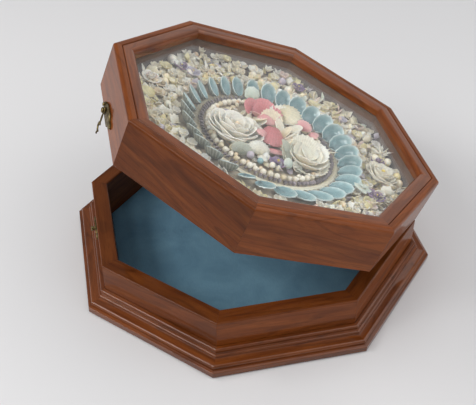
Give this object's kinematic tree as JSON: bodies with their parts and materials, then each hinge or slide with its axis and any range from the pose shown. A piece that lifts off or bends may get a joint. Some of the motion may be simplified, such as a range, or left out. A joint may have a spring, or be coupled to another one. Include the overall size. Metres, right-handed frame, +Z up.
{
  "type": "shell box",
  "caption": "Eight-sided wooden box with a blue-lined tray and a hinged, glazed lid holding a round arrangement of sea shells, with a swing-hook clasp.",
  "frame": {"origin": "centre of the underside, on the flush bottom board", "axes": "+Z up, -Y out of the front side, which holds the clasp, and +Y out of the hinge side. The lid stands open at rest."},
  "size_m": [0.2836, 0.2836, 0.1721],
  "materials": {
    "walnut": "satin lacquer over a red-brown stain",
    "old_brass": "darkened, rubbed bright on its high places",
    "blue_cloth": "dusty blue, short nap",
    "glass": "clear, polished",
    "taupe_paper": "matt grey-brown paper",
    "cream_shell": "cream shell, soft sheen",
    "pearl_shell": "ivory and peach beads of shell, soft gloss",
    "pink_shell": "rose pink shell, paler at the lips",
    "blue_shell": "glossy blue-green shell, grey-green behind",
    "dark_shell": "small dark purple-grey shell",
    "mixed_shell": "cream, ivory, yellow, pink and purple-grey shell"
  },
  "bodies": {
    "tray": {"tray_wall_1": "walnut", "tray_wall_2": "walnut", "tray_wall_3": "walnut", "tray_wall_4": "walnut", "tray_wall_5": "walnut", "tray_wall_6": "walnut", "tray_wall_7": "walnut", "tray_wall_8": "walnut", "base_moulding_1": "walnut", "base_moulding_2": "walnut", "base_moulding_3": "walnut", "base_moulding_4": "walnut", "base_moulding_5": "walnut", "base_moulding_6": "walnut", "base_moulding_7": "walnut", "base_moulding_8": "walnut", "bottom_board": "walnut", "tray_lining": "blue_cloth", "catch_plate": "old_brass", "hinge_leaf_tray_1": "old_brass", "hinge_leaf_tray_2": "old_brass", "hinge_pin_1": "old_brass", "hinge_pin_2": "old_brass"},
    "lid": {"lid_wall_1": "walnut", "lid_wall_2": "walnut", "lid_wall_3": "walnut", "lid_wall_4": "walnut", "lid_wall_5": "walnut", "lid_wall_6": "walnut", "lid_wall_7": "walnut", "lid_wall_8": "walnut", "glazing_bead_1": "walnut", "glazing_bead_2": "walnut", "glazing_bead_3": "walnut", "glazing_bead_4": "walnut", "glazing_bead_5": "walnut", "glazing_bead_6": "walnut", "glazing_bead_7": "walnut", "glazing_bead_8": "walnut", "glass_pane": "glass", "side_lining": "taupe_paper", "lid_lining": "blue_cloth", "backing_board": "walnut", "shell_card": "taupe_paper", "clasp_plate": "old_brass", "hinge_leaf_lid_1": "old_brass", "hinge_leaf_lid_2": "old_brass", "outer_shells": "mixed_shell", "blue_shells": "blue_shell", "cream_edging": "cream_shell", "ribbed_shells": "dark_shell", "pearl_ring": "pearl_shell", "centre_shells": "mixed_shell", "cream_rose_left": "cream_shell", "cream_rose_right": "cream_shell", "pink_rose": "pink_shell", "pink_cup": "pink_shell", "small_flower": "dark_shell"},
    "hook": {"clasp_hook": "old_brass"}
  },
  "joints": [
    {"name": "lid_hinge", "type": "hinge", "parent": "tray", "child": "lid", "pos_m": [0, 0.1293, 0.04165], "axis": [-1, 0, 0], "range_deg": [-21.6, 75]},
    {"name": "hook_swing", "type": "hinge", "parent": "lid", "child": "hook", "pos_m": [-0.007, -0.10906, 0.14264], "axis": [0, 0.9298, -0.3681], "range_deg": [-27.8, 60]}
  ]
}
